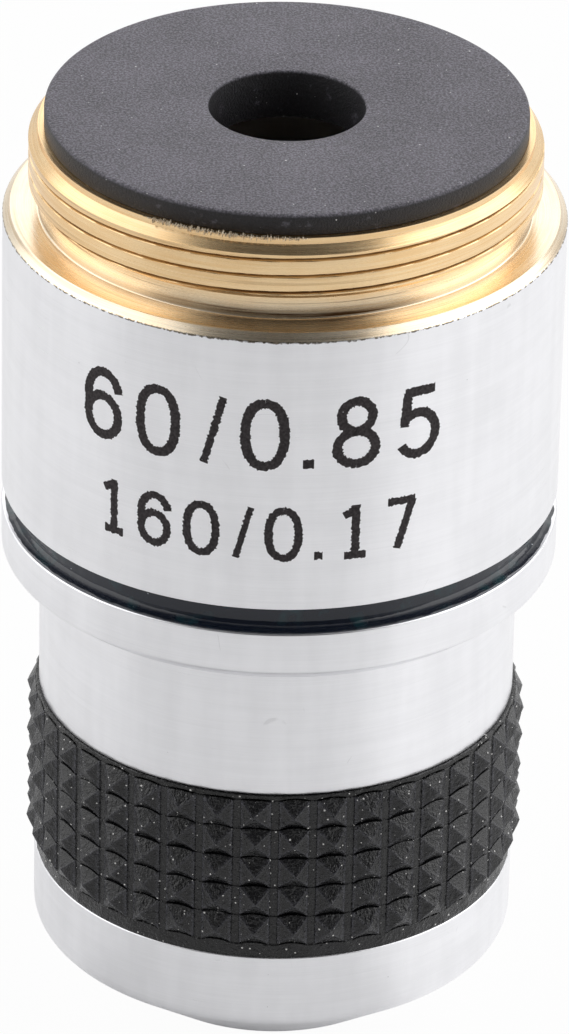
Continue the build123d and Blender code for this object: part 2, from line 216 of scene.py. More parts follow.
class Signal:
    """A number that a node gives. Python's operators on it add Math nodes."""

    def __init__(self, recipe, socket):
        self.recipe = recipe
        self.socket = socket

    def maths(self, operation, first, second=0.0):
        node = self.recipe.node("ShaderNodeMath", {"operation": operation}, {0: first, 1: second})
        return Signal(self.recipe, node.outputs[0])

    def __add__(self, other):
        return self.maths("ADD", self, other)

    __radd__ = __add__

    def __sub__(self, other):
        return self.maths("SUBTRACT", self, other)

    def __rsub__(self, other):
        return self.maths("SUBTRACT", other, self)

    def __mul__(self, other):
        return self.maths("MULTIPLY", self, other)

    __rmul__ = __mul__

    def __truediv__(self, other):
        return self.maths("DIVIDE", self, other)

    def __abs__(self):
        return self.maths("ABSOLUTE", self)

    def least(self, other):
        return self.maths("MINIMUM", self, other)

    def most(self, other):
        return self.maths("MAXIMUM", self, other)

    def root(self):
        return self.maths("SQRT", self)

    def step(self, low, high):
        """0 below low, 1 above high, and a smooth ramp between. With low above high it falls."""
        settings = {"interpolation_type": "SMOOTHSTEP"}
        flipped = low > high
        inputs = {"Value": self, "From Min": min(low, high), "From Max": max(low, high)}
        inputs |= {"To Min": 1.0 if flipped else 0.0, "To Max": 0.0 if flipped else 1.0}
        node = self.recipe.node("ShaderNodeMapRange", settings, inputs)
        return Signal(self.recipe, node.outputs[0])


class Recipe:
    """The node tree of one material or of the world."""

    def __init__(self, owner):
        owner.use_nodes = True
        self.owner = owner
        self.tree = owner.node_tree
        self.tree.nodes.clear()

    def node(self, kind, settings=None, inputs=None):
        """Adds a node. Its settings are set first. Its inputs are values, signals or sockets."""
        made = self.tree.nodes.new(kind)
        for key, value in (settings or {}).items():
            setattr(made, key, value)
        for key, value in (inputs or {}).items():
            target = made.inputs[key] if isinstance(key, int) else socket_called(made.inputs, key)
            source = value.socket if isinstance(value, Signal) else value
            if isinstance(source, bpy.types.NodeSocket):
                self.tree.links.new(source, target)
            else:
                target.default_value = source
        return made

    def signal(self, node, output):
        return Signal(self, socket_called(node.outputs, output))

    def place(self):
        """The object coordinates, as a vector socket and as its three signals."""
        vector = self.node("ShaderNodeTexCoord").outputs["Object"]
        split = self.node("ShaderNodeSeparateXYZ", inputs={"Vector": vector})
        return vector, self.signal(split, "X"), self.signal(split, "Y"), self.signal(split, "Z")

    def vector(self, x, y, z):
        return self.node("ShaderNodeCombineXYZ", inputs={"X": x, "Y": y, "Z": z}).outputs[0]

    def noise(self, vector, scale, detail=2.0, w=None, roughness=0.5):
        dimensions = "3D" if w is None else "4D"
        inputs = {"Vector": vector, "Scale": scale, "Detail": detail, "Roughness": roughness}
        if w is not None:
            inputs["W"] = w
        node = self.node("ShaderNodeTexNoise", {"noise_dimensions": dimensions}, inputs)
        return Signal(self, node.outputs[0])

    def specks(self, vector, spacing, share, size):
        """Round specks of one size in a share of the cells of a Voronoi pattern, one in each."""
        cells = self.node("ShaderNodeTexVoronoi", inputs={"Vector": vector, "Scale": 1 / spacing})
        draw = self.node("ShaderNodeSeparateColor", inputs={"Color": cells.outputs["Color"]})
        lit = self.signal(draw, "Red").step(1 - share, 1 - share + 0.01)
        width = 0.3 + self.signal(draw, "Green") * 0.7
        return (Signal(self, cells.outputs["Distance"]) / (width * (size / spacing))).step(1.0, 0.6) * lit

    def mix(self, factor, first, second):
        """first where factor is 0, second where it is 1, as colours."""
        node = self.node("ShaderNodeMix", {"data_type": "RGBA"}, {"Factor": factor, "A": first, "B": second})
        return socket_called(node.outputs, "Result")

    def bump(self, height, distance, strength=1.0):
        inputs = {"Height": height, "Distance": distance, "Strength": strength}
        return self.node("ShaderNodeBump", inputs=inputs).outputs[0]

    def finish(self, **inputs):
        """Ends the recipe in a Principled shader. Its inputs are named with underscores for spaces."""
        named = {key.replace("_", " "): value for key, value in inputs.items()}
        shader = self.node("ShaderNodeBsdfPrincipled", inputs=named)
        self.node("ShaderNodeOutputMaterial", inputs={"Surface": shader.outputs[0]})
        return self.owner


def opaque(colour):
    return (*colour, 1.0)


def new_recipe(name):
    return Recipe(bpy.data.materials.new(name))


def turning_lines(recipe, fine, reach):
    """Noise drawn out round the axis: fine is the lines' spacing, and reach their length, in metres.

    It is read at (x / r, y / r) * r0 / reach, z / fine, with the radius / fine as its fourth place.
    """
    _, x, y, z = recipe.place()
    radius = (x * x + y * y).root()
    spread = BODY_R / reach
    vector = recipe.vector(x / radius * spread, y / radius * spread, z / fine)
    return recipe.noise(vector, 1.0, detail=3.0, w=radius / fine, roughness=0.6)


def plating(recipe, vector, lines, colours):
    """The colour, the height and the blotches of satin plating with streaks, pits and scratches."""
    _, x, y, z = recipe.place()
    broad = turning_lines(recipe, 0.5 * MM, 9 * MM)
    blotches = recipe.noise(vector, 0.35 / MM, detail=5.0, roughness=0.6)
    streaks = recipe.noise(recipe.vector(x, y, z * 0.12), 1.3 / MM, detail=3.0)
    pits = recipe.specks(vector, 0.60 * MM, 0.10, 0.035 * MM)
    pits += recipe.specks(vector, 1.9 * MM, 0.25, 0.10 * MM)
    path = abs(recipe.noise(vector, 0.22 / MM, detail=1.0) - 0.5)
    scratches = path.step(0.0022, 0.0008) * recipe.noise(vector, 0.7 / MM, detail=1.0).step(0.64, 0.68)
    marks = (pits + scratches * 0.4).least(1.0)
    tone = (lines * 0.25 + broad * 0.20 + blotches * 0.30 + streaks * 0.25).step(0.36, 0.64)
    colour = recipe.mix(tone, opaque([level * 0.91 for level in colours.chrome]), opaque(colours.chrome))
    colour = recipe.mix(marks * 0.55, colour, opaque([level * 0.40 for level in colours.chrome]))
    return colour, lines - marks * 0.8, blotches


def satin_chrome(colours):
    """Satin plating with faint turning lines, blotches and small scratches."""
    recipe = new_recipe("satin_chrome")
    vector, _, _, _ = recipe.place()
    lines = turning_lines(recipe, 0.035 * MM, 4 * MM)
    colour, height, blotches = plating(recipe, vector, lines, colours)
    return recipe.finish(
        Base_Color=colour,
        Metallic=1.0,
        Roughness=0.22 + lines * 0.10 + blotches * 0.06,
        Normal=recipe.bump(height, 0.0012 * MM),
    )


def plated_brass(colours):
    """One turned piece: bare brass above the shoulder's chamfer, plated below, with a ragged edge."""
    recipe = new_recipe("plated_brass")
    vector, _, _, z = recipe.place()
    lines = turning_lines(recipe, 0.035 * MM, 4 * MM)
    chrome, height, blotches = plating(recipe, vector, lines, colours)
    coarse = turning_lines(recipe, 0.10 * MM, 6 * MM)
    tarnish = turning_lines(recipe, 0.16 * MM, 12 * MM)
    rag = recipe.noise(vector, 6 / MM, detail=3.0)
    # A mask of a thin line in the thread's roots, where shade is painted into the brass
    painted_root_shade = recipe.signal(recipe.node("ShaderNodeAttribute", {"attribute_name": "painted_root_shade"}), "Fac")
    ragged = z + (rag - 0.5) * (0.16 * MM)
    bare = ragged.step(-0.32 * MM, -0.28 * MM)
    rim = ragged.step(-0.35 * MM, -0.32 * MM) * ragged.step(-0.25 * MM, -0.29 * MM) * rag.step(0.40, 0.55)
    # The shoulder's brass is painted paler than the neck's, as a painted highlight on the glancing shoulder;
    # the two tones between them differ at random
    neck = z.step(0.0, 1.2 * MM)
    polished_with_shoulder_highlight = recipe.mix(neck, opaque((0.97, 0.85, 0.67)), opaque(colours.brass))
    worn_with_shoulder_highlight = recipe.mix(neck, opaque((0.92, 0.74, 0.52)), opaque((0.88, 0.60, 0.31)))
    brass = recipe.mix((coarse * 0.6 + blotches * 0.4).step(0.36, 0.62), worn_with_shoulder_highlight, polished_with_shoulder_highlight)
    in_relief = z.step(1.5 * MM, 1.1 * MM) * z.step(0.0, 0.1 * MM)
    streaks = tarnish.step(0.55, 0.66) * (0.25 + in_relief * 0.40)
    foot = in_relief * z.step(0.55 * MM, 0.1 * MM) * 0.45
    # Tarnish streaks, a darkening towards the relief's foot, and painted shade along the thread's roots, all
    # in one dark brown
    tarnish_and_painted_shade = (streaks + foot + painted_root_shade * coarse.step(0.2, 0.5) * 0.9).least(1.0)
    brass = recipe.mix(tarnish_and_painted_shade, brass, opaque((0.14, 0.070, 0.028)))
    colour = recipe.mix(rim * 0.85, recipe.mix(bare, chrome, brass), opaque((0.05, 0.035, 0.02)))
    return recipe.finish(
        Base_Color=colour,
        Metallic=1.0,
        Roughness=0.22 + lines * 0.10 + blotches * 0.06 + bare * (coarse * 0.14 - 0.10),
        Normal=recipe.bump(height * (1 - bare) + coarse * bare * 2.0, 0.0012 * MM),
    )


def navy_enamel(colours):
    """Glossy enamel with dust under its skin and painted teal glints."""
    recipe = new_recipe("navy_enamel")
    vector, _, _, _ = recipe.place()
    waves = recipe.noise(vector, 1.1 / MM, detail=2.0)
    dust = recipe.specks(vector, 0.28 * MM, 0.10, 0.035 * MM)
    # Teal patches at random: painted glints in the enamel's gloss
    teal_glint = opaque((colours.enamel[0] * 1.2, colours.enamel[1] * 4.0, colours.enamel[2] * 2.4))
    colour = recipe.mix(waves.step(0.52, 0.78), opaque(colours.enamel), teal_glint)
    colour = recipe.mix(dust * 0.8, colour, opaque((0.75, 0.80, 0.85)))
    return recipe.finish(
        Base_Color=colour,
        Roughness=0.12 + dust * 0.4,
        Specular_IOR_Level=0.35,
        Coat_Weight=0.35,
        Coat_Roughness=0.04,
        Normal=recipe.bump(waves, 0.05 * MM),
    )


def moulded_rubber(colours):
    """Black rubber with a fine grain, crinkles, paler edges that are part wear and part painted highlight,
    and white dust.
    """
    recipe = new_recipe("moulded_rubber")
    vector, _, _, z = recipe.place()
    edge_wear_and_glint = recipe.signal(recipe.node("ShaderNodeAttribute", {"attribute_name": "edge_wear_and_glint"}), "Fac")
    grain = recipe.noise(vector, 14 / MM, detail=2.0)
    crinkle = recipe.noise(vector, 3.0 / MM, detail=3.0, roughness=0.6)
    folds = abs(crinkle - 0.5) * 4.0
    dust = recipe.specks(vector, 0.26 * MM, 0.60, 0.054 * MM)
    lint = recipe.specks(vector, 0.11 * MM, 0.40, 0.018 * MM)
    near_top = (z - GRIP_TOP).step(-0.9 * MM, -0.1 * MM)
    dust = (dust + lint * (0.15 + near_top * 0.6)).least(1.0)
    haze = recipe.noise(vector, 0.9 / MM, detail=3.0)
    pale = opaque([level * 2.2 for level in colours.rubber])
    colour = recipe.mix(haze.step(0.40, 0.75), opaque(colours.rubber), pale)
    # Painted shade: the top rim under the sleeve's edge goes near black
    colour = recipe.mix((z - GRIP_TOP).step(-0.24 * MM, -0.20 * MM), colour, opaque((0.001, 0.001, 0.001)))
    # Paler ridges and base edges: part wear, part painted highlight on the edges
    rubbed_and_glinting = opaque([level * 20 for level in colours.rubber])
    colour = recipe.mix(edge_wear_and_glint * grain.step(0.35, 0.65) * 0.9, colour, rubbed_and_glinting)
    colour = recipe.mix(dust * 0.95, colour, opaque((0.80, 0.79, 0.77)))
    return recipe.finish(
        Base_Color=colour,
        Roughness=0.20 + grain * 0.16 + dust * 0.3,
        Specular_IOR_Level=0.50,
        Normal=recipe.bump(grain * 0.10 + folds.least(1.0) * 0.38, 0.09 * MM),
    )


def grained_plastic(colours):
    """Black grained plastic with dust and scuffs. Its top is painted paler, part dust haze and part painted
    sheen, and its side stays dark as painted shade.
    """
    recipe = new_recipe("grained_plastic")
    vector, _, _, z = recipe.place()
    top = z.step(CAP_TOP - 0.14 * MM, CAP_TOP - 0.01 * MM)
    grain = recipe.noise(vector, 11 / MM, detail=3.0, roughness=0.7)
    dust = recipe.specks(vector, 0.40 * MM, 0.40, 0.045 * MM)
    haze = recipe.noise(vector, 0.30 / MM, detail=2.0)
    scuffs = recipe.noise(vector, 1.6 / MM, detail=5.0, roughness=0.7).step(0.58, 0.70)
    side = z.step(CAP_TOP - 0.10 * MM, CAP_TOP - 0.30 * MM)
    dark = opaque([level * 0.30 for level in colours.plastic])
    pale = opaque([level * 7.2 for level in colours.plastic])
    # The paler top is part dust haze and part painted sheen; the side keeps the dark copy as painted shade
    dust_and_sheen_cover = haze.step(0.25, 0.80) * 0.15 + grain.step(0.40, 0.62) * 0.60 + 0.18
    colour = recipe.mix(dust_and_sheen_cover * (0.05 + top * 0.95), dark, pale)
    colour = recipe.mix(scuffs * side * 0.30, colour, pale)
    colour = recipe.mix(dust * 0.95, colour, opaque((0.85, 0.84, 0.83)))
    return recipe.finish(
        Base_Color=colour,
        Roughness=0.42 + grain * 0.12,
        Specular_IOR_Level=0.42,
        Normal=recipe.bump(grain, 0.07 * MM),
    )


def engraving_black():
    """Black paint in the engraving, with a few bare specks."""
    recipe = new_recipe("engraving_black")
    vector, _, _, _ = recipe.place()
    grain = recipe.noise(vector, 9 / MM, detail=3.0)
    bare = recipe.specks(vector, 0.30 * MM, 0.06, 0.04 * MM)
    colour = recipe.mix(grain.step(0.3, 0.7), opaque((0.028, 0.024, 0.025)), opaque((0.058, 0.050, 0.053)))
    colour = recipe.mix(bare * 0.8, colour, opaque((0.60, 0.60, 0.62)))
    bumps = recipe.bump(grain, 0.02 * MM)
    return recipe.finish(Base_Color=colour, Roughness=0.75, Specular_IOR_Level=0.25, Normal=bumps)


def turned_metal(name, colour, roughness):
    """A turned metal of one colour, for the pieces inside."""
    recipe = new_recipe(name)
    lines = turning_lines(recipe, 0.05 * MM, 3 * MM)
    dark = opaque([level * 0.7 for level in colour])
    return recipe.finish(
        Base_Color=recipe.mix(lines.step(0.35, 0.65), dark, opaque(colour)),
        Metallic=1.0,
        Roughness=roughness + lines * 0.12,
        Normal=recipe.bump(lines, 0.003 * MM),
    )


def blackened(name, colour):
    """Matt blackened metal or anodising."""
    recipe = new_recipe(name)
    vector, _, _, _ = recipe.place()
    grain = recipe.noise(vector, 6 / MM, detail=3.0)
    dust = recipe.specks(vector, 0.5 * MM, 0.12, 0.03 * MM)
    base = recipe.mix(grain.step(0.3, 0.7), opaque([level * 0.6 for level in colour]), opaque(colour))
    return recipe.finish(
        Base_Color=recipe.mix(dust * 0.5, base, opaque((0.5, 0.5, 0.5))),
        Roughness=0.45 + grain * 0.2,
        Normal=recipe.bump(grain, 0.004 * MM),
    )


def rough_crumbs():
    """Torn brass, pale where it is bright and brown in its hollows."""
    recipe = new_recipe("rough_crumbs")
    vector, _, _, _ = recipe.place()
    grain = recipe.noise(vector, 14 / MM, detail=2.0)
    colour = recipe.mix(grain.step(0.30, 0.50), opaque((0.30, 0.20, 0.12)), opaque((0.98, 0.88, 0.72)))
    bumps = recipe.bump(grain, 0.01 * MM)
    return recipe.finish(Base_Color=colour, Metallic=0.5, Roughness=0.55, Normal=bumps)


def coated_glass():
    """Lens glass with a faint coating."""
    recipe = new_recipe("coated_glass")
    vector, _, _, _ = recipe.place()
    film = recipe.noise(vector, 0.6 / MM, detail=2.0)
    colour = recipe.mix(film.step(0.3, 0.7), opaque((0.90, 0.96, 0.95)), opaque((0.86, 0.90, 0.98)))
    return recipe.finish(Base_Color=colour, Roughness=0.02 + film * 0.02, Transmission_Weight=1.0, IOR=1.62)


# Surfaces


def grid_faces(rows, columns, closed_rows, closed_columns):
    """Quads between neighbours of a grid of points, going round where the grid is closed.

    Point (i, j) has the number i * columns + j. A quad runs (i, j), (i, j + 1), (i + 1, j + 1), (i + 1, j).
    """
    row = np.arange(rows if closed_rows else rows - 1)[:, None]
    column = np.arange(columns if closed_columns else columns - 1)[None, :]
    next_row = (row + 1) % rows
    next_column = (column + 1) % columns
    corners = [
        row * columns + column,
        row * columns + next_column,
        next_row * columns + next_column,
        next_row * columns + column,
    ]
    return np.stack([corner.ravel() for corner in np.broadcast_arrays(*corners)], axis=1)


def piece_of(name, points, faces, material, body, sharp=radians(28)):
    """A shaded object made of points and faces, riding on a body."""
    mesh = bpy.data.meshes.new(name)
    mesh.from_pydata(points.reshape(-1, 3), [], faces)
    mesh.update()
    mesh.shade_smooth()
    mesh.set_sharp_from_angle(angle=sharp)
    mesh.materials.append(material)
    piece = bpy.data.objects.new(name, mesh)
    bpy.context.scene.collection.objects.link(piece)
    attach(piece, body)
    return piece


def give_values(piece, name, values):
    """Keeps one value for each point of a piece, for its material to read."""
    attribute = piece.data.attributes.new(name, "FLOAT", "POINT")
    attribute.data.foreach_set("value", np.asarray(values, dtype=np.float32).ravel())


def turned_points(radii, heights, azimuths):
    """(r cos a, r sin a, z) over rows of radii and heights, each one value or one for every azimuth a."""
    if np.ndim(radii) == 1:
        radii = np.asarray(radii)[:, None]
    if np.ndim(heights) == 1:
        heights = np.asarray(heights)[:, None]
    radii = np.broadcast_to(radii, (len(radii), len(azimuths)))
    heights = np.broadcast_to(heights, radii.shape)
    return np.stack([radii * np.cos(azimuths), radii * np.sin(azimuths), heights], axis=-1)


def round_azimuths(columns=TURNED_COLUMNS):
    return np.arange(columns) * (2 * pi / columns)


def turned_piece(name, radii, heights, material, body):
    """A closed outline of rows, counterclockwise with the radius to the right, carried round the axis."""
    azimuths = round_azimuths()
    points = turned_points(radii, heights, azimuths)
    faces = grid_faces(len(points), len(azimuths), True, True)
    return piece_of(name, points, faces, material, body)


def rounded(corners, steps=4):
    """The outline through corners (radius, height, rounding), each rounding made a true arc.

    The arc of radius q at a corner of half angle h starts q / tan(h) along both sides, about a centre
    q / sin(h) along their middle line, and is the even turn of one end's arm into the other's.
    """
    corners = np.array(corners, dtype=float)
    outline = []
    for index, (radius, height, rounding) in enumerate(corners):
        corner = np.array([radius, height])
        back = corners[index - 1, :2] - corner
        ahead = corners[(index + 1) % len(corners), :2] - corner
        back /= np.linalg.norm(back)
        ahead /= np.linalg.norm(ahead)
        if rounding == 0:
            outline.append(corner[None, :])
            continue
        half = np.arccos(np.clip(back @ ahead, -1, 1)) / 2
        middle = (back + ahead) / np.linalg.norm(back + ahead)
        centre = corner + middle * rounding / sin(half)
        first = corner + back * rounding / tan(half) - centre
        last = corner + ahead * rounding / tan(half) - centre
        turn = pi - 2 * half
        share = np.linspace(0, 1, steps + 1)[:, None]
        arms = np.sin((1 - share) * turn) * first + np.sin(share * turn) * last
        outline.append(centre + arms / sin(turn))
    outline = np.concatenate(outline)
    return outline[:, 0], outline[:, 1]


def smooth_noise(count, reach, seed):
    """Random values round a closed run of count places, smoothed over reach places, about -1 to 1."""
    draws = np.random.default_rng(seed).normal(size=count)
    waves = np.fft.rfft(draws)
    waves *= np.exp(-((np.arange(len(waves)) * reach / count) ** 2))
    values = np.fft.irfft(waves, count)
    return values / (2 * values.std())


# Pieces


class OBJECTIVE_OT_housing(bpy.types.Operator):
    """Builds the neck with its helical thread, the shoulder and the plated shell, all one turned piece."""

    bl_idname = "objective.housing"
    bl_label = "Housing"

    rows = 150
    flank = radians(27.5)
    run_in = 1.3  # how fast the radius grows with the height where the thread starts
    undercut = 0.03 * MM  # that a groove may lie below the relief
    shade_free_top = 0.55 * MM  # of the neck, where no painted root shade lies
    root_shade_width = 0.035 * MM
    root_shade_rise = 0.02 * MM  # of the painted root shade's line above the root
    edge = 0.05 * MM
    corner = 0.08 * MM
    inner_corners = 5  # of the outline, after the relief's top corner

    def thread(self, size, azimuths):
        """The heights, the radii and the painted root shade of the neck's rows.

        The groove follows the helix: its place in the turn is height / pitch - azimuth / 360. It is
        thread depth * tan(flank) wide to each side of its root. The worn crests bulge as a parabola does.
        """
        heights = np.linspace(size.relief_height, NECK_TOP, self.rows)[:, None]
        turn = (heights - size.valley_height) / size.pitch - (azimuths[None, :] - FRONT) / (2 * pi)
        above_root = ((turn + 0.5) % 1 - 0.5) * size.pitch
        half_groove = size.thread_depth * tan(self.flank)
        wave = np.clip(np.abs(above_root) / half_groove, 0.06, 0.96)
        from_crest = np.clip((size.pitch / 2 - np.abs(above_root)) / (size.pitch / 2 - half_groove), 0, 1)
        radii = size.crest_radius - size.thread_depth * (1 - wave) - size.crest_wear * from_crest**2
        chamfer = (size.crest_radius - size.lip_radius) / (size.chamfer_height - size.pilot_height)
        below_pilot = np.maximum(NECK_TOP - size.pilot_height - heights, 0)
        radii = np.minimum(radii, size.lip_radius + below_pilot * chamfer)
        radii = np.minimum(radii, size.relief_radius + (heights - size.relief_height) * self.run_in)
        radii = np.maximum(radii, size.relief_radius - self.undercut)
        # Painted shade: a thin dark line just above each root, where the thread's upper flank lies in shade
        painted_root_shade = np.exp(-(((above_root - self.root_shade_rise) / self.root_shade_width) ** 2))
        painted_root_shade = painted_root_shade * (heights < NECK_TOP - self.shade_free_top)
        return np.repeat(heights, len(azimuths), axis=1), radii, painted_root_shade

    def execute(self, context):
        size = context.scene.objective_housing
        azimuths = round_azimuths()
        thread_heights, thread_radii, thread_root_shade = self.thread(size, azimuths)
        outline = rounded(
            [
                (size.collar_thread, GROOVE_TOP, 0),
                (BODY_R, GROOVE_TOP, self.edge),
                (BODY_R, -size.shoulder_chamfer, self.edge),
                (BODY_R - size.shoulder_chamfer, 0, self.edge),
                (size.relief_radius, 0, self.corner),
                (size.relief_radius, size.relief_height, 0),
                (size.neck_bore, NECK_TOP, 0),
                (size.neck_bore, size.web_height, 0),
                (size.shell_bore, size.web_height, 0),
                (size.shell_bore, COLLAR_TOP, 0),
                (size.collar_thread, COLLAR_TOP, 0),
            ]
        )
        # The thread's rows take the place of the relief's top corner
        outline = np.repeat(np.stack(outline)[:, :, None], len(azimuths), axis=2)
        before = outline.shape[1] - self.inner_corners - 1
        thread = np.stack([thread_radii, thread_heights])
        radii, heights = np.concatenate([outline[:, :before], thread, outline[:, before + 1 :]], axis=1)
        material = plated_brass(context.scene.objective_finishes)
        piece = turned_piece("housing_turned", radii, heights, material, "housing")
        painted_root_shade = np.zeros(radii.shape)
        painted_root_shade[before : before + self.rows] = thread_root_shade
        give_values(piece, "painted_root_shade", painted_root_shade)
        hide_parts("housing")
        return {"FINISHED"}


class OBJECTIVE_OT_end_collar(bpy.types.Operator):
    """Builds the collar under the colour band."""

    bl_idname = "objective.end_collar"
    bl_label = "End collar"

    chamfer_width = 0.72 * MM
    chamfer_height = 0.57 * MM
    chamfer_rounding = 0.38 * MM

    def execute(self, context):
        housing = context.scene.objective_housing
        size = context.scene.objective_front
        outline = rounded(
            [
                (size.collar_bore, COLLAR_END, 0.04 * MM),
                (BODY_R - self.chamfer_width, COLLAR_END, 0.06 * MM),
                (BODY_R, COLLAR_END + self.chamfer_height, self.chamfer_rounding),
                (BODY_R, GROOVE_BOTTOM, 0.07 * MM),
                (housing.collar_thread, GROOVE_BOTTOM, 0),
                (housing.collar_thread, COLLAR_TOP, 0),
                (size.collar_bore, COLLAR_TOP, 0),
            ]
        )
        material = satin_chrome(context.scene.objective_finishes)
        piece = turned_piece("end_collar_turned", *outline, material, "housing")
        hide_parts("end_collar")
        return {"FINISHED"}


class OBJECTIVE_OT_colour_band(bpy.types.Operator):
    """Builds the enamel in the groove, with its uneven edge on the ledge."""

    bl_idname = "objective.colour_band"
    bl_label = "Colour band"

    skin = 0.12 * MM  # on the groove's wall
    edge_radius = 10.98 * MM
    edge_waver = 0.035 * MM
    film = 0.035 * MM  # at the pool's edge
    pool_height = 0.30 * MM  # that the pool climbs up the wall
    steps = 7

    def execute(self, context):
        root = context.scene.objective_housing.collar_thread
        wall = root + self.skin
        edge = self.edge_radius + self.edge_waver * smooth_noise(TURNED_COLUMNS, 3, 11)
        share = np.linspace(0, 1, self.steps)[:, None]
        # The pool falls from the wall to its edge as a quarter of an ellipse seen from outside
        pool_radii = wall + (edge - wall) * (1 - np.cos(share * pi / 2))
        pool_heights = GROOVE_BOTTOM + self.film + self.pool_height * (1 - np.sin(share * pi / 2))
        flat = np.ones((1, TURNED_COLUMNS))
        radii = [root * flat, edge[None, :], pool_radii[::-1], wall * flat, root * flat]
        floor = GROOVE_BOTTOM * flat
        ceiling = GROOVE_TOP * flat
        heights = [floor, floor, pool_heights[::-1] * flat, ceiling, ceiling]
        material = navy_enamel(context.scene.objective_finishes)
        piece = turned_piece(
            "colour_band_enamel", np.concatenate(radii), np.concatenate(heights), material, "housing"
        )
        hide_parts("colour_band")
        return {"FINISHED"}


class OBJECTIVE_OT_rear_cap(bpy.types.Operator):
    """Builds the moulded cap with its light hole."""

    bl_idname = "objective.rear_cap"
    bl_label = "Rear cap"

    plate = 2.0 * MM  # thickness round the hole
    skirt_wall = 1.2 * MM
    skirt_clearance = 0.02 * MM

    def execute(self, context):
        housing = context.scene.objective_housing
        size = context.scene.objective_front
        skirt = housing.neck_bore - self.skirt_clearance
        outline = rounded(
            [
                (size.cap_hole, CAP_TOP - self.plate, 0),
                (skirt - self.skirt_wall, CAP_TOP - self.plate, 0),
                (skirt - self.skirt_wall, CAP_BOTTOM, 0),
                (skirt, CAP_BOTTOM, 0),
                (skirt, NECK_TOP, 0),
                (CAP_R, NECK_TOP, 0.04 * MM),
                (CAP_R, CAP_TOP, 0.16 * MM),
                (size.cap_hole, CAP_TOP, 0.09 * MM),
            ]
        )
        material = grained_plastic(context.scene.objective_finishes)
        piece = turned_piece("rear_cap_moulded", *outline, material, "housing")
        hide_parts("rear_cap")
        return {"FINISHED"}


class OBJECTIVE_OT_edge_crumbs(bpy.types.Operator):
    """Builds the row of metal crumbs that turning left on the neck's upper edge, in front."""

    bl_idname = "objective.edge_crumbs"
    bl_label = "Edge crumbs"

    start = radians(-124)
    end = radians(-84)
    places = 900
    sides = 7
    crumb = 0.085 * MM
    drift = 0.03 * MM
    inset = 0.01 * MM

    def execute(self, context):
        size = context.scene.objective_housing
        azimuths = np.linspace(self.start, self.end, self.places)[:, None]
        # A thin rope along the edge: its radius is a noise of crumbs that dies away at both ends
        ends = np.clip((1 - np.abs(np.linspace(-1, 1, self.places))) * 6, 0.05, 1)
        crumbs = np.clip(0.5 + smooth_noise(self.places, 5, 31), 0.12, 1.6) * self.crumb * ends
        drift = smooth_noise(self.places, 9, 32) * self.drift * ends
        around = np.arange(self.sides)[None, :] * (2 * pi / self.sides)
        lumps = np.random.default_rng(33).uniform(0.6, 1.3, (self.places, self.sides))
        radii = size.lip_radius + self.inset + crumbs[:, None] * lumps * np.cos(around)
        heights = NECK_TOP - self.inset + drift[:, None] + crumbs[:, None] * lumps * np.sin(around)
        points = np.stack([radii * np.cos(azimuths), radii * np.sin(azimuths), heights], axis=-1)
        quads = grid_faces(self.places, self.sides, False, True)[:, ::-1]
        start = np.arange(self.sides)
        end = start[::-1] + (self.places - 1) * self.sides
        faces = [*quads.tolist(), start.tolist(), end.tolist()]
        piece = piece_of("neck_edge_crumbs", points, faces, rough_crumbs(), "housing", sharp=radians(60))
        return {"FINISHED"}


class OBJECTIVE_OT_front_sleeve(bpy.types.Operator):
    """Builds the smooth barrel, the lower barrel and the nose cone, all one turned piece."""

    bl_idname = "objective.front_sleeve"
    bl_label = "Front sleeve"

    def execute(self, context):
        size = context.scene.objective_front
        cone_top = SLEEVE_END + (LOWER_BARREL_R - size.nose_face) / tan(size.cone_half_angle)
        floor = SLEEVE_END + size.nose_wall
        outline = rounded(
            [
                (size.nose_hole, SLEEVE_END, 0.05 * MM),
                (size.nose_face, SLEEVE_END, 0.12 * MM),
                (LOWER_BARREL_R, cone_top, 0.9 * MM),
                (LOWER_BARREL_R, GRIP_BOTTOM, 0.05 * MM),
                (size.grip_seat, GRIP_BOTTOM, 0),
                (size.grip_seat, GRIP_TOP, 0),
                (size.sleeve_radius, GRIP_TOP, 0.05 * MM),
                (size.sleeve_radius, COLLAR_TOP, 0),
                (size.tube_radius, COLLAR_TOP, 0),
                (size.tube_radius, TUBE_TOP, 0.12 * MM),
                (size.sleeve_bore, TUBE_TOP, 0),
                (size.sleeve_bore, floor, 0),
                (size.nose_hole, floor, 0),
            ],
            steps=6,
        )
        material = satin_chrome(context.scene.objective_finishes)
        piece = turned_piece("front_sleeve_turned", *outline, material, "front_unit")
        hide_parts("front_sleeve")
        return {"FINISHED"}


